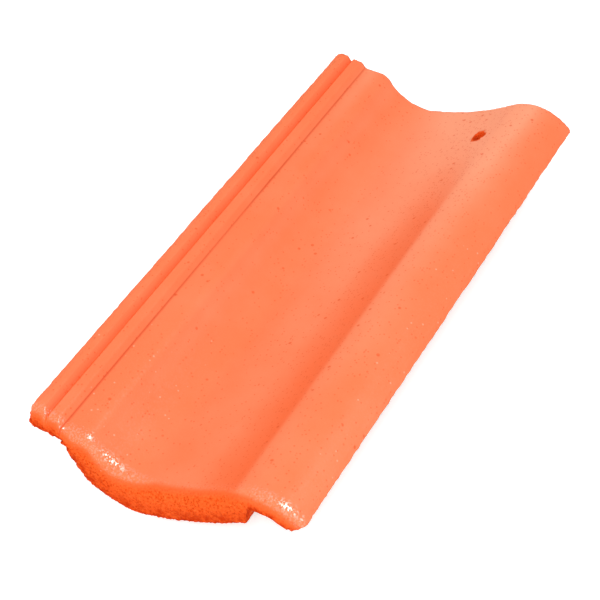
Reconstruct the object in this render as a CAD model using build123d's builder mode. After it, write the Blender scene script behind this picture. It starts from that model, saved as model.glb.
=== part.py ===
"""Interlocking pan-and-roll roof tile, pressed and fired as one piece.

Frame: X across the slope (underlock on the left, roll on the right), Y up the slope
(nose at 0, head at tile_length), Z up from the plane that the nose and nibs stand on.
"""
from build123d import *
import os
from math import cos, radians, sin

# driving dimensions, millimetres and degrees
tile_length = 420.0
body_thickness = 10.0
foot_depth = 17.0          # how far nose and nibs reach below the pan's underside
edge_radius = 2.0

# top line of pan and roll, from the shelf to the right edge: radius and turn of each bend
shelf_width = 38.0
shoulder = (9.5, -51.0)
flank = (2.4, 0.0)         # straight, so its length
pan_left = (37.5, 51.0)
pan_right = (24.5, 15.5)
rise = (185.0, 22.0)
crease = (14.0, -7.5)
roll = (35.0, -83.0)
roll_edge_thickness = 6.5  # the roll thins towards its right edge, which lies on the next shelf

# underlock on the left: two ribs on a shelf
shelf_thickness = 10.0
rib_foot = 2.0             # ribs start this far inside the shelf
outer_rib_width = 11.0
outer_rib_height = 6.0
inner_rib_width = 10.5
inner_rib_height = 4.5
lock_groove_width = 3.0
lock_groove_floor = 2.0    # floor of the groove between the ribs, above the shelf
rib_draft = 1.2
rib_corner_radius = 1.0
rib_nose_radius = 13.0

# overlock on the right: a rib that hangs into the neighbour's lock groove
side_gap = 5.5             # between the neighbour's inner rib and the foot of the right edge
lock_clearance = 1.0
overlock_rib_width = 2.2
overlock_rib_depth = 9.0   # from its tip up into the body

# nose
nose_radius = 9.0
nose_length = 24.0
nose_lip_start = 28.0      # from the left edge to where the lip leaves the shelf's underside
nose_foot_place = 72.0     # from the left edge to the lowest line of the lip
nose_foot_bend = (50.0, 20.0)
nose_wall_turn = 21.0      # where the wall beside the roll stands, along the rise
nose_wall_depth = 22.5
roll_wall_turn = 14.0      # where that wall ends in the roll
roll_lip_thickness = 9.5
roll_lip_length = 4.0

# nibs under the head
nib_width = 26.0
nib_length = 14.0
nib_chamfer = 2.0
nib_inset = 16.0           # from the head to the back of each nib
nib_centres = (58.0, 132.0)

# nail hole near the head
nail_hole_radius = 3.5
nail_mouth_radius = 6.0
nail_mouth_depth = 5.0
nail_mouth_overshoot = 1.0
nail_hole_inset = 39.0
nail_hole_turn = 18.0      # where the hole lies, along the rise


def along(slope):
    """Unit vector along a slope in degrees."""
    return Vector(cos(radians(slope)), sin(radians(slope)))


def square_to(slope):
    """Unit vector upward, square to a slope in degrees."""
    return Vector(-sin(radians(slope)), cos(radians(slope)))


def follow(knot, bend):
    """Point and slope at the end of a bend; a bend without a turn is a straight stretch."""
    point, slope = knot
    radius, turn = bend
    if turn == 0:
        return point + along(slope) * radius, slope
    reach = radius if turn > 0 else -radius
    centre = point + square_to(slope) * reach
    return centre - square_to(slope + turn) * reach, slope + turn


def knots_from(knot, bends):
    """Points and slopes where the bends meet."""
    knots = [knot]
    for bend in bends:
        knots.append(follow(knots[-1], bend))
    return knots


# the shelf's height follows from the pan, whose underside lies above the foot of nose and nibs
pan_top = foot_depth + body_thickness
down_to_pan = [shoulder, flank, pan_left]
pan_fall = knots_from((Vector(0, 0), 0.0), down_to_pan)[-1][0].Y
shelf_top = pan_top - pan_fall
top_bends = down_to_pan + [pan_right, rise, crease, roll]
knots = knots_from((Vector(shelf_width, shelf_top), 0.0), top_bends)
(shelf_end, flank_start, flank_end, pan_lowest,
 rise_start, crease_start, roll_start, edge_end) = range(len(knots))


def below(knot, depth):
    """Point at a depth below a knot, square to the top line."""
    point, slope = knot
    return point - square_to(slope) * depth


def parallel_bend(knot, bend, depth):
    """Line or arc that runs at a depth below one bend of the top line."""
    radius, turn = bend
    if turn == 0:
        return Line(below(knot, depth), below(follow(knot, bend), depth))
    reach = radius + depth if turn > 0 else radius - depth
    return JernArc(below(knot, depth), along(knot[1]), reach, turn)


def parallel_line(first, last, depth):
    """Line at a depth below the top line, from one knot to another."""
    for index in range(first, last):
        parallel_bend(knots[index], top_bends[index], depth)


# side by side, the foot of the right edge lies on the neighbour's shelf, past its inner rib
edge_foot = below(knots[edge_end], roll_edge_thickness)
ribs_width = outer_rib_width + lock_groove_width + inner_rib_width
cover_width = edge_foot.X - side_gap - ribs_width

# shelf, pan and roll: one section, extruded up the slope
with BuildPart() as body:
    with BuildSketch(Plane.XZ):
        with BuildLine():
            shelf_bottom = shelf_top - shelf_thickness
            flank_bottom = below(knots[flank_end], body_thickness)
            flank_way = along(knots[flank_end][1])
            corner = flank_bottom + flank_way * ((shelf_bottom - flank_bottom.Y) / flank_way.Y)
            parallel_line(shelf_end, edge_end, 0)
            parallel_line(flank_end, roll_start, body_thickness)
            roll_bottom = below(knots[roll_start], body_thickness)
            TangentArc(roll_bottom, edge_foot, tangent=along(knots[roll_start][1]))
            Line(knots[edge_end][0], edge_foot)
            Polyline(flank_bottom, corner, (0, shelf_bottom), (0, shelf_top), knots[shelf_end][0])
        make_face()
    extrude(amount=-tile_length)

# nose: a deep lip below shelf and pan that ends in a wall beside the roll, and a low one below the roll
lip_root = body_thickness / 2
with BuildPart() as lips:
    with BuildSketch(Plane.XZ):
        with BuildLine():
            parallel_line(shelf_end, roll_start, lip_root)
            wall_bend = (roll[0], -roll_wall_turn)
            parallel_bend(knots[roll_start], wall_bend, lip_root)
            wall_top = below(follow(knots[roll_start], wall_bend), lip_root)
            wall_foot = below(follow(knots[rise_start], (rise[0], nose_wall_turn)), nose_wall_depth)
            lip_start, nose_foot = Vector(nose_lip_start, shelf_bottom), Vector(nose_foot_place, 0)
            bend_end, bend_slope = follow((nose_foot, 0), nose_foot_bend)
            TangentArc(nose_foot, lip_start, tangent=(-1, 0))
            TangentArc(nose_foot, bend_end, tangent=(1, 0))
            TangentArc(bend_end, wall_foot, tangent=along(bend_slope))
            Polyline(lip_start, (nose_lip_start, shelf_top - lip_root), below(knots[shelf_end], lip_root))
            Line(wall_foot, wall_top)
        make_face()
    extrude(amount=-nose_length)
    with BuildSketch(Plane.XZ):
        with BuildLine():
            parallel_line(roll_start, edge_end, roll_edge_thickness / 2)
            parallel_line(roll_start, edge_end, roll_lip_thickness)
            for knot in (knots[roll_start], knots[edge_end]):
                Line(below(knot, roll_edge_thickness / 2), below(knot, roll_lip_thickness))
        make_face()
    extrude(amount=-roll_lip_length)

# underlock: two ribs with a groove between them, rounded down at the nose
with BuildPart() as ribs:
    with BuildSketch(Plane.XZ):
        with BuildLine():
            foot = shelf_top - rib_foot
            inner_x = outer_rib_width + lock_groove_width
            outer_top = shelf_top + outer_rib_height
            inner_top = shelf_top + inner_rib_height
            groove_floor = shelf_top + lock_groove_floor
            Polyline((0, foot), (0, outer_top), (outer_rib_width - rib_draft, outer_top),
                     (outer_rib_width, groove_floor), (inner_x, groove_floor),
                     (inner_x + rib_draft, inner_top), (ribs_width - rib_draft, inner_top),
                     (ribs_width, foot), close=True)
        make_face()
        four_top_corners = vertices().sort_by(Axis.Y)[-4:]
        fillet(four_top_corners, rib_corner_radius)
    extrude(amount=-tile_length)
    with BuildSketch(Plane.YZ):
        with BuildLine():
            nose_arc = TangentArc((0, outer_top - rib_nose_radius), (rib_nose_radius, outer_top),
                                  tangent=(0, 1))
            Polyline(nose_arc @ 1, (tile_length, outer_top), (tile_length, (nose_arc @ 0).Y),
                     nose_arc @ 0)
        make_face()
    extrude(amount=ribs_width, mode=Mode.INTERSECT)

# overlock: a thin rib below the roll, behind the nose, that hangs into the neighbour's lock groove
with BuildPart() as overlock_rib:
    with BuildSketch(Plane.XZ.offset(-nose_length)):
        rib_x = cover_width + outer_rib_width + lock_groove_width / 2
        rib_tip = groove_floor + lock_clearance
        with Locations((rib_x, rib_tip)):
            Rectangle(overlock_rib_width, overlock_rib_depth, align=(Align.CENTER, Align.MIN))
    extrude(amount=nose_length - tile_length)

# nibs: blocks from the standing plane up to the middle of the body
with BuildPart() as nibs:
    with BuildSketch():
        with Locations([(x, tile_length - nib_inset) for x in nib_centres]):
            Rectangle(nib_width, nib_length, align=(Align.CENTER, Align.MAX))
    extrude(amount=shelf_top)
    chamfer(nibs.edges().group_by(Axis.Z)[0], nib_chamfer)
    with BuildSketch(Plane.XZ):
        with BuildLine():
            parallel_line(flank_start, roll_start, lip_root)
            left_root, right_root = below(knots[flank_start], lip_root), below(knots[roll_start], lip_root)
            Polyline(left_root, (left_root.X, 0), (right_root.X, 0), right_root)
        make_face()
    extrude(amount=-tile_length, mode=Mode.INTERSECT)

with BuildPart() as roof_tile:
    add(body)
    add(lips)
    top_faces = roof_tile.faces().filter_by(lambda face: face.normal_at().Z > 0)
    fillet([face.edges().sort_by(Axis.Y)[0] for face in top_faces], nose_radius)
    right_edges = roof_tile.edges().filter_by(Axis.Y).group_by(Axis.X)[-1]
    fillet(right_edges, edge_radius)
    add(ribs)
    add(overlock_rib)
    add(nibs)

    # nail hole, with a mouth that opens square to the slope and starts a little above it
    nail_point, nail_slope = follow(knots[rise_start], (rise[0], nail_hole_turn))
    outward = square_to(nail_slope)
    mouth_rim = nail_point + outward * nail_mouth_overshoot
    hole_y = tile_length - nail_hole_inset
    with Locations((nail_point.X, hole_y, nail_point.Y)):
        Hole(nail_hole_radius)
    with Locations(Plane(origin=(mouth_rim.X, hole_y, mouth_rim.Y), z_dir=(outward.X, 0, outward.Y))):
        Cone(nail_hole_radius, nail_mouth_radius, nail_mouth_depth, mode=Mode.SUBTRACT,
             align=(Align.CENTER, Align.CENTER, Align.MAX))

# origin: middle of the plane that the tile stands on
middle = roof_tile.part.bounding_box().center()
finished = roof_tile.part.moved(Location((-middle.X, -middle.Y, 0)))
finished.label = "roof_tile"
os.makedirs("parts", exist_ok=True)
export_step(finished, "parts/roof_tile.step")
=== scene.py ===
import bmesh
import bpy
import numpy as np
from math import cos, radians, sin
from mathutils import Euler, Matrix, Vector
from mathutils.bvhtree import BVHTree


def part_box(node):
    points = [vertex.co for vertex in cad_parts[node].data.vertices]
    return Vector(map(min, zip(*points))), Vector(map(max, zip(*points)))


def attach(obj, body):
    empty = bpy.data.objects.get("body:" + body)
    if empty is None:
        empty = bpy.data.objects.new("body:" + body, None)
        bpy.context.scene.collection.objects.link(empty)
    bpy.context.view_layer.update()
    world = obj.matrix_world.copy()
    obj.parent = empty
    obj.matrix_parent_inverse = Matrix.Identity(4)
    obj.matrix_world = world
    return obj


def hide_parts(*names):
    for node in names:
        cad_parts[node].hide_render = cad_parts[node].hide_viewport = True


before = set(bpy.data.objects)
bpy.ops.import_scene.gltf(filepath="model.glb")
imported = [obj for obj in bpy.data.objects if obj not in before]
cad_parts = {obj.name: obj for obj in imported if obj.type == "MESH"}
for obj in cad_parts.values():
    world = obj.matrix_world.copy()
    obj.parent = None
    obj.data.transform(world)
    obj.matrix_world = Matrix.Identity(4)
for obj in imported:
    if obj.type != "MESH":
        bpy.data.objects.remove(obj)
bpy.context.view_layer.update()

mm = 0.001

# one closed skin: the top line of the section, its lower lines and the rounded nose, in millimetres
tileShape = {
    "bodyThickness": 10.0,
    "panHeight": 27.0,          # lowest line of the pan above the floor
    "shelfWidth": 38.0,
    "shelfThickness": 10.0,
    # radius and turn of each bend: shoulder, flank, left of the pan, then pan, rise, crease, roll
    "downBends": [(9.5, -51.0), (2.4, 0.0), (37.5, 51.0)],
    "upBends": [(24.5, 15.5), (185.0, 22.0), (14.0, -7.5), (35.0, -83.0)],
    "cornerLead": 1.0,          # the corner under the shelf lies this far ahead of the flank's start
    "rollEdge": 6.5,            # thickness of the roll at its right edge
    "rollSteps": 90,
    "edgeRadius": 2.0,
    "edgeRun": 6.0,             # stretch beside the right edge that is drawn anew with its round
    "noseRadius": 9.0,
    "noseLength": 24.0,
    "noseBack": 1.0,            # run of the wall behind the nose
    "lipRoot": 28.0,            # where the nose leaves the underside of the shelf
    "footPlace": 72.0,          # lowest line of the nose, from the left
    "footBend": (50.0, 20.0),
    "footBendLead": 5.0,        # that bend ends below the point of the top line this far to its left
    "wallTurn": 21.0,           # place of the wall beside the roll, along the rise
    "wallDepth": 22.5,
    "rollNoseDepth": 9.5,       # thickness of the roll at its very front
    "rollNoseLength": 4.0,
    "rollNoseFade": 0.3,        # share of the roll, at its right edge, where that thickness fades
    "ledgeRun": 0.35,
    "footRadius": 1.6,
    "footFlat": 0.5,            # share of a round that is left where it is flattened
    "endRadius": 1.0,
    "endFlat": 0.6,
    "setBack": 2.5,             # of the underlock's front end, as far as setBackEnd from the left
    "setBackEnd": 27.0,
    "setBackRun": 12.0,
    "setBackLength": 14.0,      # up the slope, where both corners are back in line
    "leftCorner": 6.0,
    "cornerLift": 2.2,
    "rightBack": 3.6,           # of the roll's front corner, which is round
    "rightCorner": 13.0,
    "rightThinning": 0.6,
    "leastWall": 1.2,
    "columnStep": 1.6,
    "ribColumnStep": 0.45,
    "closeWidth": 23.0,         # columns lie closer up to here, rows up to closeLength and over headRun
    "closeLength": 45.0,
    "headRun": 12.0,
    "slopeReach": 0.4,          # half the stretch over which the slope of a line is taken
    "frontRows": 15,
}

ribShape = {
    "outerWidth": 11.0,
    "outerHeight": 6.0,
    "innerWidth": 10.5,
    "innerHeight": 4.5,
    "grooveWidth": 3.0,
    "grooveFloor": 2.0,
    "startDrop": 4.0,           # the section starts this far below the outer rib's top
    "cornerDrop": 2.0,
    "crownPlace": 6.4,          # crown of the outer rib, from the left
    "crownRise": 0.9,
    "crownWiden": 3.0,          # added to the radius there
    "outerFall": 3.6,           # run of the soft slope beside the lock groove
    "innerFall": 3.8,           # and of the one beside the shelf
    "innerDip": 0.1,
    "innerStep": 0.4,           # run of the inner rib's steep side
    "stepRadius": 0.6,
    "draft": 1.2,
    "crownRadius": 2.8,
    "creaseRadius": 0.25,
    "noseRadius": 13.0,
    "sideGap": 5.5,
    "hookWidth": 2.2,           # the thin rib below the roll
    "hookClearance": 1.0,
    "hookHeight": 8.0,          # from its tip up into the roll
    "hookPower": 0.35,
    "hookBack": 0.4,            # it ends this far before the head
}


def along(slope):
    return np.array([cos(radians(slope)), sin(radians(slope))])


def squareTo(slope):
    return np.array([-sin(radians(slope)), cos(radians(slope))])


def followBend(knot, bend):
    # the point and slope after a bend: a straight run, or a turn about a centre square to the slope
    point, slope = knot
    radius, turn = bend
    if turn == 0:
        return point + along(slope) * radius, slope
    reach = radius if turn > 0 else -radius
    return point + squareTo(slope) * reach - squareTo(slope + turn) * reach, slope + turn


def followBends(knot, bends):
    knots = [knot]
    for bend in bends:
        knots.append(followBend(knots[-1], bend))
    return knots


def bendPoints(knot, bend, depth, steps=60):
    # points of one bend, moved down by the depth square to the line
    point, slope = knot
    radius, turn = bend
    share = np.linspace(0, 1, steps)[:, None]
    if turn == 0:
        return point + along(slope) * radius * share - squareTo(slope) * depth
    reach = radius if turn > 0 else -radius
    angle = np.radians(slope + turn * share)
    upward = np.hstack([-np.sin(angle), np.cos(angle)])
    return point + squareTo(slope) * reach - upward * (reach + depth)


def tangentArc(start, slope, end, steps=60):
    # arc from a start point with a known slope to an end point: the chord turns half as much as the arc
    chord = end - start
    half = np.arctan2(chord[1], chord[0]) - radians(slope)
    half = (half + np.pi) % (2 * np.pi) - np.pi
    radius = np.hypot(*chord) / (2 * np.sin(half))
    angle = radians(slope) + 2 * half * np.linspace(0, 1, steps)
    return start + squareTo(slope) * radius - radius * np.stack([-np.sin(angle), np.cos(angle)], 1)


def straight(start, end, steps=30):
    # points of a straight line: start + (end - start) s
    return start + (end - start) * np.linspace(0, 1, steps)[:, None]


def roundedLine(corners, radii, steps=7, most=0.45):
    # polyline whose inner corners are rounded: each arc is tangent to both sides, and takes at most this
    # share of each
    corners = [np.array(c, float) for c in corners]
    pieces = [corners[:1]]
    for before, here, after, radius in zip(corners, corners[1:], corners[2:], radii):
        inWay, outWay = here - before, after - here
        inLength, outLength = np.hypot(*inWay), np.hypot(*outWay)
        inWay, outWay = inWay / inLength, outWay / outLength
        turn = np.arctan2(inWay[0] * outWay[1] - inWay[1] * outWay[0], inWay @ outWay)
        cut = min(radius * abs(np.tan(turn / 2)), most * inLength, most * outLength)
        slope = np.degrees(np.arctan2(inWay[1], inWay[0]))
        pieces.append(tangentArc(here - inWay * cut, slope, here + outWay * cut, steps))
    pieces.append(corners[-1:])
    return np.vstack(pieces)


def lineLength(points):
    # length along a polyline at each of its points
    return np.concatenate([[0], np.cumsum(np.hypot(*np.diff(points, axis=0).T))])


def pointsAlong(line, places):
    # points of a polyline at these lengths along it
    reach = lineLength(line)
    return np.stack([np.interp(places, reach, line[:, i]) for i in (0, 1)], 1)


def linkedLine(pieces):
    # lower line as a function of the top line's length: each piece fills its own stretch of that length
    reach = [low + (high - low) * lineLength(line) / lineLength(line)[-1] for low, high, line in pieces]
    spread = np.concatenate(reach)
    points = np.vstack([line for _, _, line in pieces])
    return lambda place: np.stack([np.interp(place, spread, points[:, 0]),
                                   np.interp(place, spread, points[:, 1])], 1)


def heightAcross(line, total, steps=4000):
    # the height of a lower line as a function of x
    points = line(np.linspace(0, total, steps))
    order = np.argsort(points[:, 0])
    return lambda xs: np.interp(xs, points[order, 0], points[order, 1])


def smoothStep(values, low, high):
    # 0 below low, 1 above high, and 3s^2 - 2s^3 of the share s between them
    share = np.clip((values - low) / (high - low), 0, 1)
    return share * share * (3 - 2 * share)


def ribLine(shelfTop, start):
    # top line over both ribs, from the left edge to the shelf, and the places that other parts need
    rib = ribShape
    outerTop, innerTop = shelfTop + rib["outerHeight"], shelfTop + rib["innerHeight"]
    grooveFloor = shelfTop + rib["grooveFloor"]
    innerStart = rib["outerWidth"] + rib["grooveWidth"]
    innerEnd = innerStart + rib["innerWidth"]
    grooveStart = rib["outerWidth"] + rib["draft"]
    crown, tight = rib["crownRadius"], rib["creaseRadius"]
    corners = [(0, outerTop - rib["startDrop"]), (0.01, outerTop - rib["cornerDrop"]),
               (rib["crownPlace"], outerTop + rib["crownRise"]), (grooveStart - rib["outerFall"], outerTop),
               (grooveStart, grooveFloor), (innerStart - rib["innerStep"], grooveFloor),
               (innerStart, innerTop), (innerEnd - rib["innerFall"], innerTop - rib["innerDip"]),
               (innerEnd, shelfTop), start]
    radii = [crown, crown + rib["crownWiden"], crown, tight, tight, rib["stepRadius"], crown, tight]
    places = {"outerTop": outerTop, "grooveStart": grooveStart, "innerStart": innerStart, "ribEnd": innerEnd,
              "hookTip": grooveFloor + rib["hookClearance"]}
    return roundedLine(corners, radii), places


def sectionLines():
    # all lines of the section, with the lowest line of the pan at the height of the nose
    shape, rib = tileShape, ribShape
    fall = followBends((np.zeros(2), 0.0), shape["downBends"])[-1][0][1]
    shelfTop = shape["panHeight"] - fall
    start = np.array([shape["shelfWidth"], shelfTop])
    bends = shape["downBends"] + shape["upBends"]
    knots = followBends((start, 0.0), bends)
    names = ["shoulder", "flank", "panLeft", "panRight", "rise", "crease", "roll"]
    knot, bend = dict(zip(names, knots)), dict(zip(names, bends))

    ribs, places = ribLine(shelfTop, start)
    topPieces = [ribs] + [bendPoints(knot[name], bend[name], 0)[1:] for name in names]
    edge, edgeSlope = knots[-1]
    edgeFoot = edge - squareTo(edgeSlope) * shape["rollEdge"]
    run = shape["edgeRun"]
    rounded = roundedLine([edge - along(edgeSlope) * run, edge, edge - squareTo(edgeSlope) * run],
                          [shape["edgeRadius"]], 9)
    shortRoll = topPieces[-1][np.hypot(*(topPieces[-1] - edge).T) > run]
    topPieces[-1] = np.vstack([shortRoll, rounded[:-1]])
    topLine = np.vstack(topPieces)
    ends = [lineLength(np.vstack(topPieces[:i + 1]))[-1] for i in range(len(topPieces))]
    starts, total = dict(zip(names, ends)), ends[-1]

    def below(name, depth):
        point, slope = knot[name]
        return point - squareTo(slope) * depth

    thickness = shape["bodyThickness"]
    shelfFoot = shelfTop - shape["shelfThickness"]
    flankFoot = below("panLeft", thickness)
    way = along(knot["flank"][1])
    corner = flankFoot + way * (shelfFoot - flankFoot[1]) / way[1]
    cornerPlace = starts["flank"] - shape["cornerLead"]
    body = [(0, cornerPlace, straight(np.array([0, shelfFoot]), corner)),
            (cornerPlace, starts["panLeft"], straight(corner, flankFoot, 8))]
    for name, following in zip(names[2:-1], names[3:]):
        body.append((starts[name], starts[following], bendPoints(knot[name], bend[name], thickness)))
    # the roll's underside is one arc, and its thickness falls towards the right edge
    steps = shape["rollSteps"]
    rollPlaces = np.linspace(starts["roll"], total, steps)
    rollUnder = tangentArc(below("roll", thickness), knot["roll"][1], edgeFoot, steps)
    body.append((starts["roll"], total, rollUnder))

    # nose: an arc from the shelf's underside to the foot, two arcs up to the roll, and a wall beside it
    foot = np.array([shape["footPlace"], 0.0])
    lipRoot = np.array([shape["lipRoot"], shelfFoot])
    leftArc = tangentArc(foot, 180.0, lipRoot)[::-1]
    footEnd, footSlope = followBend((foot, 0.0), shape["footBend"])
    wallKnot = followBend(knot["rise"], (bend["rise"][0], shape["wallTurn"]))
    wallFoot = wallKnot[0] - squareTo(wallKnot[1]) * shape["wallDepth"]
    rootPlace, footPlace, bendPlace = np.interp([lipRoot[0], foot[0], footEnd[0] - shape["footBendLead"]],
                                                topLine[:, 0], lineLength(topLine))
    wallPlace = starts["rise"] + radians(shape["wallTurn"]) * bend["rise"][0]

    def noseLine(underRoll):
        # the wall stands upright and ends where it meets the line under the roll
        meet = np.argmax(underRoll[:, 0] > wallFoot[0])
        wallTop = np.array([wallFoot[0], underRoll[meet, 1]])
        return linkedLine([
            (0, rootPlace, straight(np.array([0, shelfFoot]), lipRoot)),
            (rootPlace, footPlace, leftArc),
            (footPlace, bendPlace, bendPoints((foot, 0.0), shape["footBend"], 0)),
            (bendPlace, wallPlace, tangentArc(footEnd, footSlope, wallFoot)),
            (wallPlace, rollPlaces[meet], straight(wallFoot, wallTop)),
            (rollPlaces[meet], total, underRoll[meet:])])

    # at the very front the roll is thicker: the lower one of its underside and a line parallel to its top
    lipShare = smoothStep(np.linspace(1, 0, steps), 0.0, shape["rollNoseFade"])[:, None]
    rollLip = bendPoints(knot["roll"], bend["roll"], shape["rollNoseDepth"], steps)
    rollLip = rollUnder + (rollLip - rollUnder) * lipShare
    rollCentre = below("roll", bend["roll"][0])
    thick = np.hypot(*(rollUnder - rollCentre).T) < np.hypot(*(rollLip - rollCentre).T)
    rollFront = np.where(thick[:, None], rollUnder, rollLip)

    cover = edgeFoot[0] - places["ribEnd"] - rib["sideGap"]
    return {"top": topLine, "total": total, "body": linkedLine(body), "nose": noseLine(rollUnder),
            "front": noseLine(rollFront), "shelfFoot": shelfFoot, "wallX": wallFoot[0],
            "hookPlace": cover + rib["outerWidth"] + rib["grooveWidth"] / 2,
            "nail": followBend(knot["rise"], (bend["rise"][0], nailHole["turn"])),
            "creaseX": (knot["crease"][0][0] + knot["roll"][0][0]) / 2, **places}


hashPrimes = np.array([73856093, 19349663, 83492791])
tableSize = 65536


def latticeNoise(places, cell, seed):
    # smooth noise from -1 to 1: random values at the corners of a cubic lattice, blended by a smooth step
    chance = np.random.default_rng(seed).random(tableSize)
    scaled = places / cell
    base = np.floor(scaled).astype(np.int64)
    blend = smoothStep(scaled - base, 0, 1)
    total = np.zeros(len(places))
    for corner in np.ndindex(2, 2, 2):
        key = (base + corner) @ hashPrimes
        weight = np.prod(np.where(np.array(corner) == 1, blend, 1 - blend), axis=1)
        total += weight * chance[key % tableSize]
    return total * 2 - 1


def layeredNoise(places, layers):
    # sum of lattice noises, each with its cell size in millimetres, its seed and its share
    return sum(latticeNoise(places, cell, seed) * share for cell, seed, share in layers)


def pitDepth(places, cell, share, radius, seed):
    # round hollows from 0 to 1: some lattice cells hold one centre, and depth falls off as a bowl around it
    table = np.random.default_rng(seed).random((tableSize, 5))
    scaled = places / cell
    base = np.floor(scaled).astype(np.int64)
    depth = np.zeros(len(places))
    for step in np.ndindex(3, 3, 3):
        cells = base + np.array(step) - 1
        pick = table[(cells @ hashPrimes) % tableSize]
        centre = cells + 0.2 + 0.6 * pick[:, :3]
        size = radius / cell * (0.5 + 0.5 * pick[:, 4])
        gap = np.sqrt(((scaled - centre) ** 2).sum(1)) / size
        depth = np.maximum(depth, np.where(pick[:, 3] < share, np.clip(1 - gap ** 2, 0, 1), 0))
    return depth


def joinGrids(grids):
    # several grids of points become one mesh: quads between neighbours, then equal points share an index,
    # and a quad with two equal corners becomes a triangle
    points, quads, offset = [], [], 0
    for grid, flipped in grids:
        rows, columns = grid.shape[:2]
        index = offset + np.arange(rows * columns).reshape(rows, columns)
        quad = np.stack([index[:-1, :-1], index[:-1, 1:], index[1:, 1:], index[1:, :-1]], -1).reshape(-1, 4)
        quads.append(quad[:, ::-1] if flipped else quad)
        points.append(grid.reshape(-1, 3))
        offset += rows * columns
    points, quads = np.vstack(points), np.vstack(quads)
    _, first, same = np.unique(np.round(points, 5), axis=0, return_index=True, return_inverse=True)
    faces = [list(dict.fromkeys(quad)) for quad in same.reshape(-1)[quads].tolist()]
    return points[first], [face for face in faces if len(face) > 2]


def meshObject(name, points, faces):
    mesh = bpy.data.meshes.new(name)
    mesh.from_pydata(points, [], faces)
    mesh.validate()
    mesh.shade_smooth()
    obj = bpy.data.objects.new(name, mesh)
    bpy.context.scene.collection.objects.link(obj)
    return obj


def cleanUp(obj):
    # collapsed quads at poles become triangles, and all normals point outwards
    work = bmesh.new()
    work.from_mesh(obj.data)
    bmesh.ops.remove_doubles(work, verts=work.verts, dist=1e-7)
    bmesh.ops.dissolve_degenerate(work, edges=work.edges, dist=1e-7)
    bmesh.ops.recalc_face_normals(work, faces=work.faces)
    work.to_mesh(obj.data)
    work.free()


def refine(mesh, rounds):
    # in each round the faces that are picked by their middle are cut into four
    for picked in rounds:
        work = bmesh.new()
        work.from_mesh(mesh)
        faces = [face for face in work.faces if picked(*(face.calc_center_median() / mm))]
        edges = {edge for face in faces for edge in face.edges}
        bmesh.ops.subdivide_edges(work, edges=list(edges), cuts=1, use_grid_fill=True)
        work.to_mesh(mesh)
        work.free()


def roundHeight(radius, distance):
    # height of a quarter round at a distance from its edge: sqrt(r^2 - (r - d)^2), and r from there on
    return np.sqrt(np.clip(radius ** 2 - np.clip(radius - distance, 0, None) ** 2, 0, None))


def tileRows(length):
    # places of the cross rows up the slope: close at the nose and at the head, wide between
    shape = tileShape
    nose = shape["noseRadius"] * (1 - np.cos(np.radians(np.linspace(0, 90, 13))))
    lip = np.linspace(shape["noseRadius"], shape["noseLength"], 9)[1:]
    behind = shape["noseLength"] + shape["noseBack"]
    ledge = shape["rollNoseLength"] + np.array([0, shape["ledgeRun"]])
    wideStart, wideEnd = shape["closeLength"], length - shape["headRun"]
    plain = np.concatenate([np.linspace(behind, wideStart, 6), np.linspace(wideStart, wideEnd, 49)[1:]])
    head = np.linspace(wideEnd, length, 9)[1:]
    return np.sort(np.concatenate([nose, ledge, lip, plain, head]))


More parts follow.
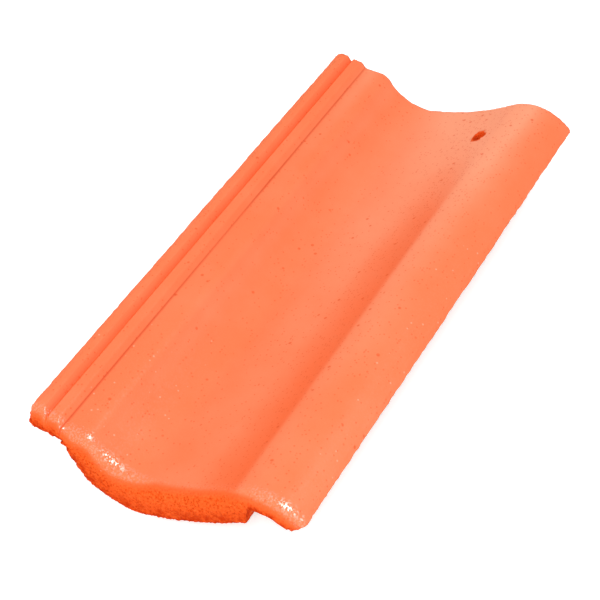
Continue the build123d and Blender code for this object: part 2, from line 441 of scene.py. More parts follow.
def tileGrids(lines, length):
    # top and underside are surfaces over the length along the top line and the way up the slope, and
    # four walls join them
    shape, rib, topLine = tileShape, ribShape, lines["top"]
    ribReach = lineLength(topLine)[np.searchsorted(topLine[:, 0], shape["closeWidth"])]
    wideCount = int((lines["total"] - ribReach) / shape["columnStep"])
    columns = np.concatenate([np.arange(0, ribReach, shape["ribColumnStep"]),
                              np.linspace(ribReach, lines["total"], wideCount)])
    topX, topZ = pointsAlong(topLine, columns).T
    reach = shape["slopeReach"]
    run = pointsAlong(topLine, columns + reach) - pointsAlong(topLine, columns - reach)
    way = run / np.hypot(*run.T)[:, None]
    upward = np.stack([-way[:, 1], way[:, 0]], 1)

    rows = tileRows(length)
    # top: at the nose a row lies below the top line by r less the round's height, square to the line,
    # and the ribs are cut off by a larger round of their own
    drop = (shape["noseRadius"] - roundHeight(shape["noseRadius"], rows))[:, None]
    ribCut = (lines["outerTop"] - rib["noseRadius"] + roundHeight(rib["noseRadius"], rows))[:, None]
    onRibs = topX < lines["ribEnd"]
    topXs = topX - np.where(onRibs, 0, upward[:, 0]) * drop
    topZs = np.where(onRibs, np.minimum(topZ, ribCut), topZ - upward[:, 1] * drop)
    # the head's upper edge has a small round
    headDrop = shape["endRadius"] - roundHeight(shape["endRadius"], length - rows)
    topZs = topZs - headDrop[:, None] * shape["endFlat"]
    top = np.stack([topXs, np.broadcast_to(rows[:, None], topXs.shape), topZs], -1)

    # underside: the roll's thick front, then the nose's lower line up to its length, the body's behind it
    under = lines["body"](columns)[None]
    for name, end in (("nose", shape["noseLength"]), ("front", shape["rollNoseLength"])):
        under = np.where((rows <= end + 1e-6)[:, None, None], lines[name](columns)[None], under)
    footLift = shape["footRadius"] - roundHeight(shape["footRadius"], rows)
    underX, underZ = under[..., 0], under[..., 1] + footLift[:, None] * shape["footFlat"]
    lower = np.stack([underX, np.broadcast_to(rows[:, None], underX.shape), underZ], -1)

    # the front corners are set back and rounded off below: this fades out behind and towards the middle
    width, corner = topLine[-1, 0], shape["rightCorner"]
    rightEnd = 1 - np.sqrt(1 - np.clip((topX - width + corner) / corner, 0, 0.98) ** 2)
    frontShare = np.clip(1 - rows / shape["setBackLength"], 0, 1)[:, None]
    for grid in (top, lower):
        x = grid[..., 0]
        leftShare = np.clip((shape["setBackEnd"] - x) / shape["setBackRun"], 0, 1)
        leftShare = leftShare + np.clip(1 - x / shape["leftCorner"], 0, 1) ** 2
        grid[..., 1] += (shape["setBack"] * leftShare + shape["rightBack"] * rightEnd) * frontShare
    lower += (top - lower) * shape["rightThinning"] * (rightEnd * frontShare)[..., None]
    lifted = lower[..., 2] + shape["cornerLift"] * leftShare * frontShare ** 3
    least = shape["leastWall"] * (1 - smoothStep(topX, width - 2 * corner, width - corner))
    lower[..., 2] = np.minimum(lifted, top[..., 2] - least)

    def wall(upper, foot):
        return upper + (foot - upper) * np.linspace(0, 1, shape["frontRows"])[:, None, None]

    return [(top, False), (lower, True), (wall(top[0], lower[0]), True), (wall(top[-1], lower[-1]), False),
            (wall(top[:, 0], lower[:, 0]), False), (wall(top[:, -1], lower[:, -1]), True)]


reliefLook = {
    "faceGrit": 0.62,           # height of the grit on the nose's face
    "gritLevel": 0.9,           # the grit takes away more than it adds
    "facePits": 0.8,
    "pits": (4.2, 0.6, 1.4, 15),        # cell, share of cells with a pit, radius, seed
    "calmWall": 0.6,            # share of grit and pits that is lost beside the roll
    "crumble": 0.7,             # loss along the lower edge of the nose
    "rimReach": 3.0,            # how far from that edge it reaches
    "firmFront": 0.8,           # share of it that the roll's thin front is spared
    "edgeLoss": 0.5,            # loss along the long edges and the head
    "sideReach": 2.2,
    "headReach": 2.5,
    "headShare": 0.6,
    "belowGrit": 0.25,
    "waves": 0.12,              # long soft unevenness of the whole surface
    "turnLumps": 0.13,
    "level": 0.6,               # waves and the underside's grit are lowered by this, to stay inside the solid
    "turnLevel": 0.8,
    # noise layers: cell size, seed, share
    "sandLayers": [(1.1, 11, 0.55), (2.3, 12, 0.45)],
    "lumpLayers": [(3.4, 13, 0.5), (1.5, 17, 0.5)],
    "turnLayers": [(1.6, 23, 1.0), (3.4, 24, 0.5)],
    # spans in which a part begins or ends: up the slope, then down over the nose, then by share of depth
    "noseEnd": (6, 18),
    "turnEnd": (8, 22),
    "cornerEnd": (10, 20),
    "turnedStart": (0, 6),
    "faceStart": (3, 13),
    "belowStart": (0.4, 0.8),
    # where the painted shade on the lower face begins, by share of depth
    "rimShadeStart": (0.4, 0.9),
    # where the deep colour starts over the nose: way down in millimetres at these places from the left
    "turnPlaces": [24, 34, 60, 90, 138, 150, 165],
    "turnStarts": [6, 11, 11, 1, 1, 6, 8],
    "turnReach": 11,            # the way down is counted from this line up the slope
}


def depthShare(points, lines):
    # 0 on the top of the tile, 1 on its lower side, by height between the two lines at the same x,
    # and the way down from the top line in millimetres
    x, y, z = points.T
    topZ = np.interp(x, lines["top"][:, 0], lines["top"][:, 1])
    inNose = y <= tileShape["noseLength"] + tileShape["noseBack"] / 2
    lowZ = np.where(inNose, heightAcross(lines["front"], lines["total"])(x), lines["bodyFit"](x))
    return np.clip((topZ - z) / np.maximum(topZ - lowZ, 2), 0, 1), np.clip(topZ - z, 0, None)


def gritTile(points, lines, length, width):
    # relief in millimetres along the normals: smooth under the coat, coarse on the nose's face and the edges
    look = reliefLook
    x, y, z = points.T
    depth, drop = depthShare(points, lines)
    behind = smoothStep(y, *look["noseEnd"])
    # way down over the nose in millimetres, less a start that differs along the front
    start = np.interp(x, look["turnPlaces"], look["turnStarts"])
    down = np.clip(look["turnReach"] - y, 0, None) + drop - start
    turned = smoothStep(down, *look["turnedStart"]) * (1 - behind)
    face = smoothStep(down, *look["faceStart"]) * (1 - behind)
    below = smoothStep(depth, *look["belowStart"]) * behind
    sand, lumps = layeredNoise(points, look["sandLayers"]), layeredNoise(points, look["lumpLayers"])
    pits = pitDepth(points, *look["pits"])
    relief = face * (look["faceGrit"] * (sand - look["gritLevel"]) - look["facePits"] * pits)
    wallEnd = lines["wallX"] - 1
    relief *= 1 - look["calmWall"] * (x > wallEnd)

    # loss by the distance to the lower front edge; the wall beside the roll and the thin front crumble less
    edgeLine = lines["front"](np.linspace(0, lines["total"], 500))
    near = np.flatnonzero(y < look["rimReach"])
    gap = np.hypot(x[near, None] - edgeLine[:, 0], z[near, None] - edgeLine[:, 1]).min(1)
    edge = np.zeros(len(points))
    edge[near] = np.clip(1 - np.hypot(gap, y[near]) / look["rimReach"], 0, 1)
    firm = smoothStep(x, wallEnd - 5, wallEnd)
    relief -= edge * look["crumble"] * np.clip(0.9 + 1.8 * lumps, 0, 3) * (1 - look["firmFront"] * firm)
    side = np.clip(1 - np.minimum(x, width - x) / look["sideReach"], 0, 1) * (z > lines["shelfFoot"] - 1)
    headEdge = look["headShare"] * np.clip(1 - (length - y) / look["headReach"], 0, 1)
    relief -= look["edgeLoss"] * np.maximum(side, headEdge) * np.clip(0.5 + 1.6 * lumps, 0, 2)

    underside = 0.6 * latticeNoise(points, 9.0, 19) + 0.4 * lumps
    relief += below * look["belowGrit"] * (underside - look["level"])
    waves = latticeNoise(points * [1, 0.35, 1], 34.0, 14)
    relief += look["waves"] * (waves - look["level"]) * (1 - face)
    # the coat is lumpy where it turns over the nose
    turn = (1 - smoothStep(y, *look["turnEnd"])) * (1 - face) * (1 - below)
    relief += look["turnLumps"] * turn * (layeredNoise(points, look["turnLayers"]) - look["turnLevel"])
    # the roll's front corner stays smooth
    relief *= smoothStep(np.maximum(width - x, y), *look["cornerEnd"])
    # painted shade: the lower part of the face is darker, with a ragged upper edge
    rimShade = np.clip(smoothStep(depth, *look["rimShadeStart"]) * (0.8 + 0.9 * lumps), 0, 1.1) * face
    return relief, face, below, turned, rimShade


# where the coat differs, painted shade and painted light among it: places from the left edge or the crease,
# spans up the slope, all in millimetres
coatPlaces = {
    "creaseShadeShare": 0.56,          # painted shade: it grows towards the crease, stops there and fades up the slope
    "creaseShadeStart": -31.5,
    "creaseShadeRun": 27.0,
    "creaseShadeStop": (-2.6, 2.2),
    "creaseShadeFade": (265, 345),
    "slopeShadeShare": 0.35,         # painted shade on the soft slope beside the lock groove, and in the groove
    "slopeShadeRun": 4.0,
    "grooveShadeHalf": 0.7,
    "turnedShare": 0.85,
    "ribFootShadeHalf": 0.45,           # half width of the painted shade line at the sharp foot of the inner rib
    "mouthShadeRing": 5.4,           # radius of the ragged ring of painted shade around the nail hole
    "mouthShadeEdge": 0.9,
    # painted light as pale sheen patches: origin, middle, run, share at the nose, growth towards the head,
    # its power
    "paintedLightPatches": [("crease", -38, 34, 0.12, 0.95, 2), ("crease", 7, 15, 0.16, 1.1, 2),
                    ("left", 31, 7, 0, 0.5, 4), ("left", 48, 5, 0.22, 0, 1)],
    # more painted light: how much, the span from the crease where it starts, the span up the slope where it
    # ends
    "paintedLightRight": (0.2, (26, 36), (60, 200)),
    "paintedLightNail": (0.3, 20, (310, 390)),            # painted light around the nail hole: how much, run, the span up the slope where it starts
    # painted glint specks, and a little more coat shine: middle and run from the left with the span where
    # they end, then as the painted light on the roll's right side
    "glintLeft": (45, 30, (60, 170)),
    "glintRight": (0.7, (22, 34), (200, 330)),
    "glazeEnd": (8, 13),        # how far up the nose the glaze ends
    "thinGlaze": (0.75, (-72, -58), (6, 12)),     # what it loses between these spans from the crease
}


def hump(values, middle, run):
    # bell curve: exp(-((v - middle) / run)^2)
    return np.exp(-((values - middle) / run) ** 2)


def stripe(values, middle, half, level):
    # 1 along a line and 0 beside it: level - |v - middle| / half, kept between 0 and 1
    return np.clip(level - np.abs(values - middle) / half, 0, 1)


def coatMasks(points, normals, lines, length, turned, rimShade):
    # where the coat is deeper in colour or holds painted shade, paler with painted light, or pocked, from 0
    # to 1, all in the tile's own places
    spots = coatPlaces
    x, y, _ = points.T
    up = normals[:, 2] > 0.2
    across = x - lines["creaseX"]
    rear = np.clip(y / length, 0, 1)
    drift = latticeNoise(points * [1, 0.3, 1], 16.0, 21)
    # deep: painted shade in the band beside the crease, on the soft slope beside the lock groove and in the
    # groove, and the deeper colour over the turn of the nose
    creaseShade = np.clip((across - spots["creaseShadeStart"]) / spots["creaseShadeRun"], 0, 1)
    creaseShade *= (1 - smoothStep(across, *spots["creaseShadeStop"])) * (1 - smoothStep(y, *spots["creaseShadeFade"]))
    grooveStart = lines["grooveStart"]
    # painted shade on the soft slope beside the lock groove, and a dark line of it in the groove
    slope = smoothStep(x, grooveStart - spots["slopeShadeRun"], grooveStart) * (x < lines["innerStart"] + 0.3)
    grooveShade = stripe(x, grooveStart + spots["grooveShadeHalf"], spots["grooveShadeHalf"], 1.5)
    deep = np.maximum.reduce([spots["creaseShadeShare"] * creaseShade * (1 + 0.12 * drift), spots["slopeShadeShare"] * slope,
                              grooveShade, spots["turnedShare"] * turned])
    # painted shade: a line at the sharp foot of the inner rib, a ragged ring around the nail hole, and the
    # darker lower face
    paintedShade = stripe(x, lines["ribEnd"] + 0.1, spots["ribFootShadeHalf"], 1.4) * (0.68 + 0.22 * drift)
    nail, tilt = lines["nail"]
    ring = np.hypot((x - nail[0]) / cos(radians(tilt)), y - length + nailHole["inset"])
    ragged = spots["mouthShadeRing"] + 0.7 * latticeNoise(points, 2.2, 22)
    paintedShade = np.maximum(paintedShade, np.clip((ragged - ring) / spots["mouthShadeEdge"], 0, 1) * 1.15)
    # painted light: pale sheen patches that grow towards the head, the lit right side of the roll, and around
    # the nail hole, with a little random tone
    origins = {"left": x, "crease": across}
    paintedLightAndTone = sum(hump(origins[origin], middle, run) * (share + growth * rear ** power)
               for origin, middle, run, share, growth, power in spots["paintedLightPatches"])
    share, acrossSpan, upSpan = spots["paintedLightRight"]
    paintedLightAndTone += share * smoothStep(across, *acrossSpan) * (1 - smoothStep(y, *upSpan))
    share, run, upSpan = spots["paintedLightNail"]
    paintedLightAndTone += share * hump(x, nail[0], run) * smoothStep(y, *upSpan)
    paintedLightAndTone = np.clip(paintedLightAndTone + 0.05 * drift, 0, 1)
    # pocked: tiny hollows gather around the crease and towards the head
    pocked = 0.22 + 0.78 * hump(across, -8, 26) * (0.5 + 0.5 * rear)
    # glint: where painted glint specks lie, and where the coat shines a little more
    middle, run, upSpan = spots["glintLeft"]
    glint = hump(x, middle, run) * (1 - smoothStep(y, *upSpan))
    share, acrossSpan, upSpan = spots["glintRight"]
    glint = np.maximum(glint, share * smoothStep(across, *acrossSpan) * (1 - smoothStep(y, *upSpan)))
    # glaze: the coat shines where it gathered on the turn of the nose, and hardly elsewhere
    share, thinFrom, thinTo = spots["thinGlaze"]
    gathered = 1 - share * smoothStep(across, *thinFrom) * (1 - smoothStep(across, *thinTo))
    gathered *= 1 - smoothStep(y, *spots["glazeEnd"])
    glaze = np.maximum(0.02 + 0.07 * glint, gathered) * (1 - 0.9 * turned)
    return {"deep": deep, "paintedShade": np.maximum(paintedShade * up, rimShade), "paintedLightAndTone": paintedLightAndTone * up, "pocked": pocked * up,
            "glint": glint * up, "glaze": glaze}


def closedRod(rings):
    # a row of closed rings becomes one grid around, and each end a lid from the ring's middle to the ring
    lids = []
    for ring, flipped in ((rings[0], False), (rings[-1], True)):
        centre = ring[:-1].mean(0)
        shares = np.array([0, 0.35, 0.7, 1.0])[:, None, None]
        lids.append((centre + (ring - centre) * shares, flipped))
    return [(rings, False)] + lids


def roundedOblong(steps, power):
    # closed outline in a square from -1 to 1: sign(cos)|cos|^power across, sign(sin)|sin|^power up
    turn = np.linspace(0, 2 * np.pi, steps + 1)
    way = np.stack([np.cos(turn), np.sin(turn)], 1)
    return np.sign(way) * np.abs(way) ** power


def hookGrids(lines, length):
    # the thin rib below the roll: a rounded oblong, drawn from behind the nose to the head
    rib, half = ribShape, ribShape["hookHeight"] / 2
    outline = roundedOblong(32, rib["hookPower"])
    across = outline[:, 0] * rib["hookWidth"] / 2
    upward = outline[:, 1] * rib["hookHeight"] / 2
    ys = np.linspace(tileShape["noseLength"], length - rib["hookBack"], 60)
    return closedRod(np.stack(np.broadcast_arrays(lines["hookPlace"] + across[None], ys[:, None],
                                                  lines["hookTip"] + half + upward[None]), -1))


nibShape = {
    "width": 26.0,
    "length": 14.0,
    "chamfer": 2.0,
    "chamferLevels": (0, 0.35, 1.1, 2.0),
    "inset": 16.0,
    "places": (58.0, 132.0),
    "root": 4.0,                # how far each nib reaches up into the body
    "steps": 40,
    "levels": 22,
    "power": 0.24,
}


def nibGrids(place, lines, length):
    # a nib is a block whose cross-section shrinks by the chamfer at its foot: one grid around, two lids
    nib = nibShape
    middle = np.array([place, length - nib["inset"] - nib["length"] / 2])
    half = np.array([nib["width"], nib["length"]]) / 2
    outline = roundedOblong(nib["steps"], nib["power"])
    rings = []
    for height in nib["chamferLevels"]:
        around = middle + outline * (half - (nib["chamfer"] - height))
        rings.append(np.column_stack([around, np.full(len(outline), height)]))
    around = middle + outline * half
    top = lines["bodyFit"](around[:, 0]) + nib["root"]
    for level in np.linspace(0, 1, nib["levels"])[1:]:
        rings.append(np.column_stack([around, nib["chamfer"] + (top - nib["chamfer"]) * level]))
    return closedRod(np.stack(rings))


nailHole = {
    "radius": 3.5,
    "reach": (-30.0, 12.0),     # of the pin that cuts the hole, below and above the surface
    "mouthRadius": 5.2,
    "mouthDepth": 5.0,
    "mouthLip": [(-0.9, -1.0), (-0.2, -0.3)],     # points near its rim: past the radius, above the surface
    "mouthFlare": 0.8,
    "torn": 0.06,               # share of its radius by which the mouth's rim swings
    "overshoot": 1.0,
    "inset": 39.0,
    "turn": 18.0,               # place along the rise
    "steps": 40,
}


def nailCutter(lines, length):
    # the hole is a pin turned about the vertical, its mouth a cone turned about the line square to the slope
    hole = nailHole
    point, slope = lines["nail"]
    origin = np.array([point[0], length - hole["inset"], point[1]])
    turn = np.linspace(0, 2 * np.pi, hole["steps"] + 1)
    ring = np.stack([np.cos(turn), np.sin(turn), np.zeros(len(turn))], 1)
    # the mouth is torn a little: its radius swings with the turn
    swing = np.sin(3 * turn + 1.0) + 0.8 * np.sin(5 * turn + 2.2) + 0.5 * np.sin(9 * turn)

    def turnedGrid(profile, slopeTurn, torn=0.0):
        rough = ring * (1 + torn * swing[:, None])
        rings = np.stack([origin + rough * [r, r, 0] + [0, 0, h] for r, h in profile])
        tilt = radians(slopeTurn)
        away = rings - origin
        rotated = np.stack([away[..., 0] * cos(tilt) - away[..., 2] * sin(tilt), away[..., 1],
                            away[..., 0] * sin(tilt) + away[..., 2] * cos(tilt)], -1)
        return [(rotated + origin, False)]

    (low, high), radius = hole["reach"], hole["radius"]
    pin = turnedGrid([(0, low), (radius, low), (radius, high), (0, high)], 0)
    depth, over, rim = hole["mouthDepth"] - hole["overshoot"], hole["overshoot"], hole["mouthRadius"]
    lip = [(rim + past, above) for past, above in hole["mouthLip"]]
    mouth = turnedGrid([(0, -depth), (radius, -depth)] + lip + [(rim + hole["mouthFlare"], over), (0, over)],
                       slope, hole["torn"])
    return pin, mouth


def paintHelpers(mesh, masks, surfaces):
    # a Boolean leaves chance values on what it adds or cuts, so points that lie on a helper get its own
    places = np.zeros(len(mesh.vertices) * 3)
    mesh.vertices.foreach_get("co", places)
    places = places.reshape(-1, 3)
    near = 0.01 * mm
    for tree, least, most, values in surfaces:
        inside = np.flatnonzero(((places > least - near) & (places < most + near)).all(1))
        on = [i for i in inside if tree.find_nearest(places[i])[3] < near]
        for mask in masks:
            data = mesh.attributes[mask].data
            for i in on:
                data[i].value = values.get(mask, 0)


def tileHelpers(lines, length):
    # what is joined to the skin or cut from it, each with the masks of the surface that it leaves
    pin, mouth = nailCutter(lines, length)
    helpers = [("hook", hookGrids(lines, length), "UNION", {"below": 1}),
               # the nail hole's walls and mouth are darkened with painted shade
               ("nailPin", pin, "DIFFERENCE", {"face": 1, "paintedShade": 1.0, "below": 0.1}),
               ("nailMouth", mouth, "DIFFERENCE", {"face": 1, "deep": 1, "paintedShade": 0.45})]
    for i, place in enumerate(nibShape["places"]):
        helpers.append(("nib%d" % i, nibGrids(place, lines, length), "UNION", {"below": 1}))
    return helpers


def applyHelpers(tile, helpers, low, masks):
    # one Boolean per helper, all worked out at once
    made, surfaces = [], []
    for name, grids, action, values in helpers:
        points, faces = joinGrids(grids)
        points = (points + low) * mm
        helper = meshObject(name, points, faces)
        cleanUp(helper)
        surfaces.append((BVHTree.FromPolygons(points.tolist(), faces), points.min(0), points.max(0), values))
        step = tile.modifiers.new(name, "BOOLEAN")
        step.operation, step.object, step.solver = action, helper, "EXACT"
        made.append(helper)
    bpy.context.view_layer.update()
    finished = bpy.data.meshes.new_from_object(tile.evaluated_get(bpy.context.evaluated_depsgraph_get()))
    tile.modifiers.clear()
    tile.data = finished
    finished.name = "clayTile"
    for helper in made:
        bpy.data.objects.remove(helper)
    paintHelpers(finished, masks, surfaces)


def refineTile(mesh, lines, length, width):
    # closer faces on the front, along its lower edge, at the long edges and around the nail hole
    edgeLine = lines["front"](np.linspace(0, lines["total"], 160))
    nailX, nailY = lines["nail"][0][0], length - nailHole["inset"]

    def onFront(x, y, z):
        return y < 9.0

    def onRim(x, y, z):
        return y < 2.0 and np.hypot(edgeLine[:, 0] - x, edgeLine[:, 1] - z).min() < 3.0

    def onSides(x, y, z):
        return (0.1 < min(x, width - x) < 1.4 and y > 9) or np.hypot(x - nailX, y - nailY) < 9

    refine(mesh, [onFront, onRim, onSides])


def buildTile():
    low, high = [np.array(corner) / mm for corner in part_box("roof_tile")]
    length, width = high[1] - low[1], high[0] - low[0]
    lines = sectionLines()
    lines["bodyFit"] = heightAcross(lines["body"], lines["total"])

    points, faces = joinGrids(tileGrids(lines, length))
    tile = meshObject("clayTile", points * mm, faces)
    mesh = tile.data
    refineTile(mesh, lines, length, width)
    points, normals = np.zeros(len(mesh.vertices) * 3), np.zeros(len(mesh.vertices) * 3)
    mesh.vertices.foreach_get("co", points)
    mesh.vertex_normals.foreach_get("vector", normals)
    points, normals = points.reshape(-1, 3) / mm, normals.reshape(-1, 3)
    relief, face, below, turned, rimShade = gritTile(points, lines, length, width)
    masks = {"face": face, "below": below, **coatMasks(points, normals, lines, length, turned, rimShade)}
    moved = np.clip(points + normals * relief[:, None] + low, low, high)
    mesh.vertices.foreach_set("co", (moved * mm).ravel())
    for name, values in masks.items():
        layer = mesh.attributes.new(name, "FLOAT", "POINT")
        layer.data.foreach_set("value", values.astype(np.float32))
    mesh.update()
    print("tile skin:", len(mesh.vertices), "points,", len(mesh.polygons), "faces, section", width, "wide")

    applyHelpers(tile, tileHelpers(lines, length), low, masks)
    tile.data.calc_loop_triangles()
    print("tile with nibs and nail hole:", len(tile.data.loop_triangles), "triangles")
    return tile


# satin orange coat over gritty clay, colours as linear values
coatLook = {
    "coat": (0.97, 0.209, 0.083, 1),
    # painted light: the pale sheen colour, which the random cloudy tone also moves towards
    "paintedLightAndTone": (0.98, 0.352, 0.197, 1),
    # painted shade beside the crease, on and beside the lock groove and in the nail hole's mouth, and the
    # deeper colour over the turn of the nose
    "deep": (0.93, 0.124, 0.025, 1),
    "paintedGlint": (1.0, 0.45, 0.30, 1),          # painted glint specks on the coat
    "pinHole": (0.80, 0.082, 0.012, 1),
    # painted shade in the nail hole, at the foot of the inner rib and on the lower face
    "paintedShade": (0.60, 0.036, 0.002, 1),
    "faceClay": (0.97, 0.126, 0.020, 1),
    "facePit": (0.72, 0.052, 0.001, 1),
    "faceGrain": (1.0, 0.25, 0.06, 1),
    "bareClay": (0.50, 0.16, 0.075, 1),
    "barePit": (0.30, 0.085, 0.04, 1),
    "roughness": 0.55,
    "faceRoughness": 0.8,
    "belowRoughness": 0.92,
    "specular": 0.03,
    "glazeRoughness": 0.36,
    "glazeIndex": 2.1,
    # noises: scale and detail
    "sand": (1100.0, 3.0),
    "grit": (620.0, 3.0),
    "cloud": (24.0, 4.0),
    "specks": (760.0, 3.0),
    # dots: scale, size and the share of cells that hold one
    "pinHoleDots": (500.0, 0.38, 0.55),
    "hollowDots": (170.0, 0.24, 0.22),
    "paintedGlintDots": (330.0, 0.26, 0.10),
    "pitDots": (560.0, 0.48, 0.5),
    # how much each mark tints what is under it
    "cloudTint": 0.5,
    "pinHoleTint": 0.42,
    "hollowTint": 0.55,
    "paintedGlintTint": 0.7,
    "pitTint": 0.9,
    "barePitTint": 0.6,
    "fleckTint": 0.65,
    "paintedShadeTint": 0.85,
    # flecks: the noise level where they start, and how sharply
    "darkFlecks": (0.505, 7.0),
    "lightFlecks": (0.56, 6.0),
    "glintFlecks": (0.5, 11.0),
    "dulling": 1.6,
    # bump, in units of its depth
    "gritBump": 6.5,
    "hollowBump": 1.6,
    "pitBump": 1.5,
    "bumpStrength": 0.5,
    "bumpDepth": 0.0003,
}


def nodeGroup(name, inputs, outputs):
    group = bpy.data.node_groups.new(name, "ShaderNodeTree")
    for socket, kind, default in inputs:
        made = group.interface.new_socket(socket, in_out="INPUT", socket_type=kind)
        if default is not None:
            made.default_value = default
    for socket, kind in outputs:
        group.interface.new_socket(socket, in_out="OUTPUT", socket_type=kind)
    return group, group.nodes.new("NodeGroupInput"), group.nodes.new("NodeGroupOutput")


def addNode(tree, kind, **settings):
    node = tree.nodes.new(kind)
    for key, value in settings.items():
        if key in node.inputs.keys():
            node.inputs[key].default_value = value
        else:
            setattr(node, key, value)
    return node


def feed(tree, socket, value):
    # a number or a colour is set, anything else is linked
    if isinstance(value, (tuple, float, int)):
        socket.default_value = value
    else:
        tree.links.new(value, socket)


def calc(tree, operation, first, second, clamp=False):
    node = addNode(tree, "ShaderNodeMath", operation=operation, use_clamp=clamp)
    feed(tree, node.inputs[0], first)
    feed(tree, node.inputs[1], second)
    return node.outputs[0]


def mixColour(tree, factor, first, second):
    node = addNode(tree, "ShaderNodeMix", data_type="RGBA")
    for index, value in ((0, factor), (6, first), (7, second)):
        feed(tree, node.inputs[index], value)
    return node.outputs[2]


def dotPattern():
    # some cells of a cellular pattern hold a dot: 1 in its middle, 0 from its rim outwards
    inputs = [("Vector", "NodeSocketVector", None), ("Scale", "NodeSocketFloat", 300.0),
              ("Size", "NodeSocketFloat", 0.3), ("Share", "NodeSocketFloat", 0.3)]
    group, inside, out = nodeGroup("dots", inputs, [("Mask", "NodeSocketFloat")])
    cells = addNode(group, "ShaderNodeTexVoronoi")
    group.links.new(inside.outputs["Vector"], cells.inputs["Vector"])
    group.links.new(inside.outputs["Scale"], cells.inputs["Scale"])
    chance = addNode(group, "ShaderNodeSeparateColor")
    group.links.new(cells.outputs["Color"], chance.inputs["Color"])
    held = calc(group, "LESS_THAN", chance.outputs[0], inside.outputs["Share"])
    toRim = calc(group, "SUBTRACT", inside.outputs["Size"], cells.outputs["Distance"])
    nearness = calc(group, "DIVIDE", toRim, inside.outputs["Size"])
    soft = calc(group, "MULTIPLY", nearness, 2.2, True)
    group.links.new(calc(group, "MULTIPLY", soft, held), out.inputs["Mask"])
    return group


def coatMaterial():
    look = coatLook
    material = bpy.data.materials.new("paintedClay")
    material.use_nodes = True
    tree = material.node_tree
    shader = tree.nodes["Principled BSDF"]
    where = tree.nodes.new("ShaderNodeTexCoord").outputs["Object"]
    face, below, deep, paintedShade, paintedLightAndTone, pocked, glint, glaze = [
        addNode(tree, "ShaderNodeAttribute", attribute_name=name).outputs["Fac"]
        for name in ("face", "below", "deep", "paintedShade", "paintedLightAndTone", "pocked", "glint", "glaze")]
    pattern = dotPattern()

    def times(first, second, clamp=False):
        return calc(tree, "MULTIPLY", first, second, clamp)

    def larger(first, second):
        return calc(tree, "MAXIMUM", first, second)

    def dots(name, within=None):
        # where a mask is given, it thins the dots out
        scale, size, share = look[name]
        node = addNode(tree, "ShaderNodeGroup", node_tree=pattern)
        tree.links.new(where, node.inputs["Vector"])
        node.inputs["Scale"].default_value, node.inputs["Size"].default_value = scale, size
        feed(tree, node.inputs["Share"], share if within is None else times(within, share))
        return node.outputs["Mask"]

    def noise(name):
        scale, detail = look[name]
        node = addNode(tree, "ShaderNodeTexNoise", Scale=scale, Detail=detail, Roughness=0.6)
        tree.links.new(where, node.inputs["Vector"])
        return node.outputs["Fac"]

    def flecks(first, second, sharpness):
        return times(calc(tree, "SUBTRACT", first, second, True), sharpness, True)

    sand, grit = noise("sand"), noise("grit")
    cloud = times(calc(tree, "SUBTRACT", noise("cloud"), 0.5), look["cloudTint"])
    # pin holes in the coat, a few larger ones, and sparse painted glint specks
    pinHoles, hollows = dots("pinHoleDots", pocked), dots("hollowDots", pocked)
    paintedGlints, facePits = dots("paintedGlintDots", glint), dots("pitDots")
    # painted light with a random cloudy tone, then the deep colour with painted shade
    coat = mixColour(tree, calc(tree, "ADD", paintedLightAndTone, cloud, True), look["coat"], look["paintedLightAndTone"])
    coat = mixColour(tree, deep, coat, look["deep"])
    holeShare = larger(times(pinHoles, look["pinHoleTint"]), times(hollows, look["hollowTint"]))
    coat = mixColour(tree, holeShare, coat, look["pinHole"])
    coat = mixColour(tree, times(paintedGlints, look["paintedGlintTint"]), coat, look["paintedGlint"])
    # the face is mottled: dark flecks where the grit noise is low, light ones where the sand noise is high
    darkLevel, darkSharpness = look["darkFlecks"]
    darkFlecks = flecks(darkLevel, grit, darkSharpness)
    lightFlecks = flecks(sand, *look["lightFlecks"])
    faceColour = mixColour(tree, times(larger(darkFlecks, facePits), look["pitTint"]),
                           look["faceClay"], look["facePit"])
    faceColour = mixColour(tree, times(lightFlecks, look["fleckTint"]), faceColour, look["faceGrain"])
    bare = mixColour(tree, times(facePits, look["barePitTint"]), look["bareClay"], look["barePit"])
    painted = mixColour(tree, face, coat, faceColour)
    # painted shade in the nail hole, at the inner rib's foot and on the lower face
    painted = mixColour(tree, times(paintedShade, look["paintedShadeTint"], True), painted, look["paintedShade"])
    tree.links.new(mixColour(tree, below, painted, bare), shader.inputs["Base Color"])

    faceStep = times(face, look["faceRoughness"] - look["roughness"])
    belowStep = times(below, look["belowRoughness"] - look["roughness"])
    rough = calc(tree, "ADD", calc(tree, "ADD", faceStep, belowStep), look["roughness"], True)
    tree.links.new(rough, shader.inputs["Roughness"])
    # the coat glints in fine specks, most of all on the turn of the nose
    specks = flecks(noise("specks"), *look["glintFlecks"])
    dull = larger(larger(face, below), larger(paintedShade, holeShare))
    smooth = calc(tree, "SUBTRACT", 1.0, times(dull, look["dulling"]), True)
    tree.links.new(times(times(specks, smooth), glaze), shader.inputs["Coat Weight"])
    shader.inputs["Coat Roughness"].default_value = look["glazeRoughness"]
    shader.inputs["Coat IOR"].default_value = look["glazeIndex"]
    shader.inputs["Specular IOR Level"].default_value = look["specular"]

    rawShare = larger(face, below)
    height = calc(tree, "ADD", sand, times(times(grit, rawShare), look["gritBump"]))
    deepPits = times(times(facePits, rawShare), look["pitBump"])
    for dent in (pinHoles, times(hollows, look["hollowBump"]), deepPits):
        height = calc(tree, "SUBTRACT", height, dent)
    bump = addNode(tree, "ShaderNodeBump", Strength=look["bumpStrength"], Distance=look["bumpDepth"])
    tree.links.new(height, bump.inputs["Height"])
    tree.links.new(bump.outputs["Normal"], shader.inputs["Normal"])
    return material


tile = buildTile()
tile.data.materials.clear()
tile.data.materials.append(coatMaterial())
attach(tile, "root")
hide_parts("roof_tile")
print("tile and its coat done")

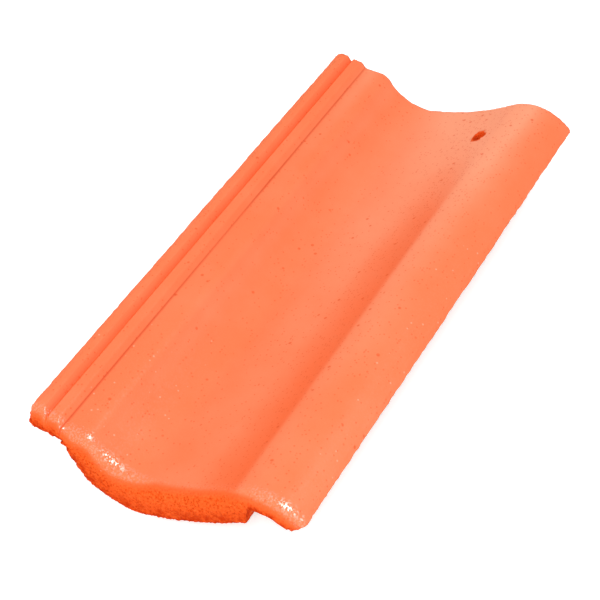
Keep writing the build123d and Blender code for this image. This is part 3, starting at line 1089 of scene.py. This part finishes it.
studio = {
    "floorSize": 8.0,
    "floorColour": (0.9, 0.9, 0.9, 1),
    "floorGlow": 0.45,          # only seen by the camera and in reflections
    "worldColour": (1, 1, 1, 1),
    "worldStrength": 0.80,
    # name, place, size and power of each lamp, all aimed at the tile
    "lamps": [("keyLamp", (0.64, -1.45, 1.78), 0.45, 24.0), ("glintLamp", (1.15, 0.22, 1.98), 1.15, 100.0)],
    "glintOnly": "glintLamp",   # this one only shows in the coat, the other only lights
}


def buildStudio():
    setup = studio
    half = setup["floorSize"] / 2
    floor = meshObject("floor", [(-half, -half, 0), (half, -half, 0), (half, half, 0), (-half, half, 0)],
                       [(0, 1, 2, 3)])
    white = bpy.data.materials.new("whiteFloor")
    white.use_nodes = True
    tree = white.node_tree
    shader = tree.nodes["Principled BSDF"]
    shader.inputs["Base Color"].default_value = setup["floorColour"]
    shader.inputs["Roughness"].default_value = 1.0
    shader.inputs["Specular IOR Level"].default_value = 0.0
    rays = tree.nodes.new("ShaderNodeLightPath")
    seen = calc(tree, "MAXIMUM", rays.outputs["Is Camera Ray"],
                calc(tree, "MAXIMUM", rays.outputs["Is Glossy Ray"], rays.outputs["Is Transmission Ray"]))
    shader.inputs["Emission Color"].default_value = (1, 1, 1, 1)
    tree.links.new(calc(tree, "MULTIPLY", seen, setup["floorGlow"]), shader.inputs["Emission Strength"])
    floor.data.materials.append(white)

    world = bpy.data.worlds.new("studio")
    bpy.context.scene.world = world
    world.use_nodes = True
    tree = world.node_tree
    sky = tree.nodes["Background"]
    sky.inputs["Color"].default_value = setup["worldColour"]
    # the camera sees the world at full strength, and the tile is lit by less
    rays = tree.nodes.new("ShaderNodeLightPath")
    level = calc(tree, "MULTIPLY", rays.outputs["Is Camera Ray"], 1 - setup["worldStrength"])
    tree.links.new(calc(tree, "ADD", level, setup["worldStrength"]), sky.inputs["Strength"])
    for name, spot, size, power in setup["lamps"]:
        lamp = bpy.data.lights.new(name, "AREA")
        lamp.size, lamp.energy = size, power
        holder = bpy.data.objects.new(name, lamp)
        holder.location = spot
        holder.rotation_euler = (-Vector(spot)).to_track_quat("-Z", "Y").to_euler()
        holder.visible_glossy = name == setup["glintOnly"]
        holder.visible_diffuse = not holder.visible_glossy
        bpy.context.scene.collection.objects.link(holder)


cameraView = {
    "place": (0.3566, -0.7418, 0.8387),
    "turn": (44.847, -1.52, 28.141),
    "lens": 101.75,
}


def buildCamera():
    lens = bpy.data.cameras.new("camera")
    lens.lens, lens.sensor_width, lens.clip_start = cameraView["lens"], 36.0, 0.01
    camera = bpy.data.objects.new("camera", lens)
    camera.location = cameraView["place"]
    camera.rotation_euler = Euler([radians(angle) for angle in cameraView["turn"]])
    bpy.context.scene.collection.objects.link(camera)
    bpy.context.scene.camera = camera


buildStudio()
buildCamera()
bpy.context.scene.view_settings.view_transform = "Standard"
print("studio and camera done")
